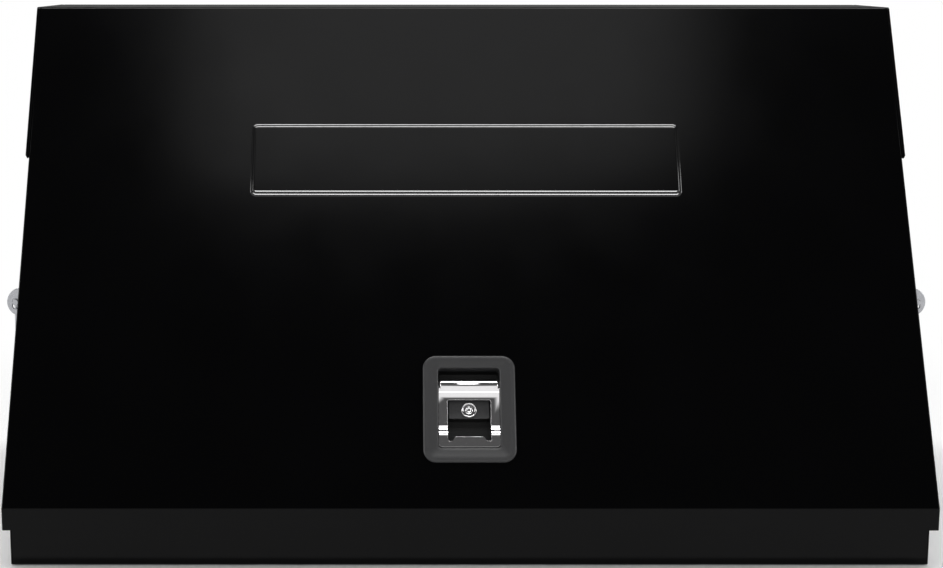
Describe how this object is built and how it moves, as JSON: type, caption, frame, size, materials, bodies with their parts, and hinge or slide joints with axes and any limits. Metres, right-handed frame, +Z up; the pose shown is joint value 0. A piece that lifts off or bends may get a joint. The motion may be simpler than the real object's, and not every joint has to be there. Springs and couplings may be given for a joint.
{
  "type": "portable toolbox",
  "caption": "Steel toolbox with a sloped front lid hinged at its top rear edge, gas struts, a recessed flip-lever latch and a swinging handle on each side.",
  "frame": {"origin": "middle of the box's outline on the surface that it stands on", "axes": "+X to the right seen from the front, +Y towards the hinged back, +Z up"},
  "size_m": [0.951, 0.433, 0.54],
  "materials": {
    "gloss_black": "smooth gloss black powder coat over folded sheet steel",
    "rubber": "matt black rubber",
    "zinc": "bright zinc plate",
    "dark_steel": "satin black coated steel",
    "chrome": "polished chrome plate",
    "grey_casting": "satin dark grey die casting",
    "black_plastic": "moulded black plastic"
  },
  "bodies": {
    "case": {"case_wrap": "gloss_black", "side_panel_left": "gloss_black", "side_panel_right": "gloss_black", "rim_seal": "rubber", "latch_striker": "zinc", "hinge_leaf_case": "gloss_black", "hinge_pin": "zinc", "strut_bracket_case_left": "zinc", "strut_bracket_case_right": "zinc", "handle_bracket_left": "zinc", "handle_bracket_right": "zinc", "handle_rivets_left": "dark_steel", "handle_rivets_right": "dark_steel"},
    "lid": {"lid_panel": "gloss_black", "lid_cheek_left": "gloss_black", "lid_cheek_right": "gloss_black", "lid_stiffener_left": "gloss_black", "lid_stiffener_right": "gloss_black", "hinge_leaf_lid": "gloss_black", "strut_bracket_lid_left": "zinc", "strut_bracket_lid_right": "zinc", "latch_dish": "grey_casting", "latch_gasket": "rubber", "latch_clamp_frame": "zinc", "latch_nut_1": "zinc", "latch_nut_2": "zinc", "latch_nut_3": "zinc", "latch_nut_4": "zinc", "paddle_pin": "zinc", "paddle_spring": "dark_steel", "lock_housing": "chrome", "rocker_stud": "zinc", "bolt_guide_lower": "zinc", "bolt_guide_upper": "zinc", "latch_cover": "gloss_black"},
    "paddle": {"latch_paddle": "chrome"},
    "rocker": {"latch_rocker": "zinc"},
    "bolt": {"latch_bolt": "zinc"},
    "lock": {"lock_plug": "chrome", "lock_cam": "zinc"},
    "strut_tube_left": {"strut_cylinder_left": "dark_steel", "strut_foot_left": "black_plastic"},
    "strut_tube_right": {"strut_cylinder_right": "dark_steel", "strut_foot_right": "black_plastic"},
    "strut_shaft_left": {"strut_rod_left": "chrome", "strut_head_left": "black_plastic"},
    "strut_shaft_right": {"strut_rod_right": "chrome", "strut_head_right": "black_plastic"},
    "bail_left": {"handle_bail_left": "zinc", "handle_grip_left": "rubber"},
    "bail_right": {"handle_bail_right": "zinc", "handle_grip_right": "rubber"}
  },
  "joints": [
    {"name": "lid_hinge", "type": "hinge", "parent": "case", "child": "lid", "pos_m": [0, 0.2132, 0.505], "axis": [-1, 0, 0], "range_deg": [0, 75]},
    {"name": "paddle_pull", "type": "hinge", "parent": "lid", "child": "paddle", "pos_m": [0, -0.14583, 0.16819], "axis": [-1, 0, 0], "range_deg": [0, 35], "stiffness_Nm_per_rad": 0.15, "springref_deg": -17.19},
    {"name": "rocker_turn", "type": "hinge", "parent": "lid", "child": "rocker", "pos_m": [0, -0.12944, 0.14577], "axis": [0, -0.8616, 0.5076], "range_deg": [0, 33.3]},
    {"name": "bolt_slide", "type": "slide", "parent": "lid", "child": "bolt", "axis": [0, 0.5076, 0.8616], "range_m": [0, 0.011]},
    {"name": "lock_turn", "type": "hinge", "parent": "lid", "child": "lock", "pos_m": [0, -0.14699, 0.14159], "axis": [0, 0.8616, -0.5076], "range_deg": [0, 90]},
    {"name": "strut_turn_left", "type": "hinge", "parent": "case", "child": "strut_tube_left", "pos_m": [-0.41, 0.093, 0.267], "axis": [-1, 0, 0], "range_deg": [0, 3]},
    {"name": "strut_turn_right", "type": "hinge", "parent": "case", "child": "strut_tube_right", "pos_m": [0.41, 0.093, 0.267], "axis": [-1, 0, 0], "range_deg": [0, 3]},
    {"name": "strut_slide_left", "type": "slide", "parent": "strut_tube_left", "child": "strut_shaft_left", "axis": [0, 0.3011, 0.9536], "range_m": [0, 0.06]},
    {"name": "strut_slide_right", "type": "slide", "parent": "strut_tube_right", "child": "strut_shaft_right", "axis": [0, 0.3011, 0.9536], "range_m": [0, 0.06]},
    {"name": "bail_swing_left", "type": "hinge", "parent": "case", "child": "bail_left", "pos_m": [-0.466, 0, 0.2413], "axis": [0, 1, 0], "range_deg": [0, 90]},
    {"name": "bail_swing_right", "type": "hinge", "parent": "case", "child": "bail_right", "pos_m": [0.466, 0, 0.2413], "axis": [0, -1, 0], "range_deg": [0, 90]}
  ],
  "couplings": [
    {"joint": "rocker_turn", "follows": "paddle_pull", "ratio": 0.95},
    {"joint": "bolt_slide", "follows": "paddle_pull", "m_per_rad": 0.0179},
    {"joint": "strut_turn_left", "follows": "lid_hinge", "ratio": 0.022},
    {"joint": "strut_turn_right", "follows": "lid_hinge", "ratio": 0.022},
    {"joint": "strut_slide_left", "follows": "lid_hinge", "m_per_rad": 0.04541},
    {"joint": "strut_slide_right", "follows": "lid_hinge", "m_per_rad": 0.04541}
  ]
}
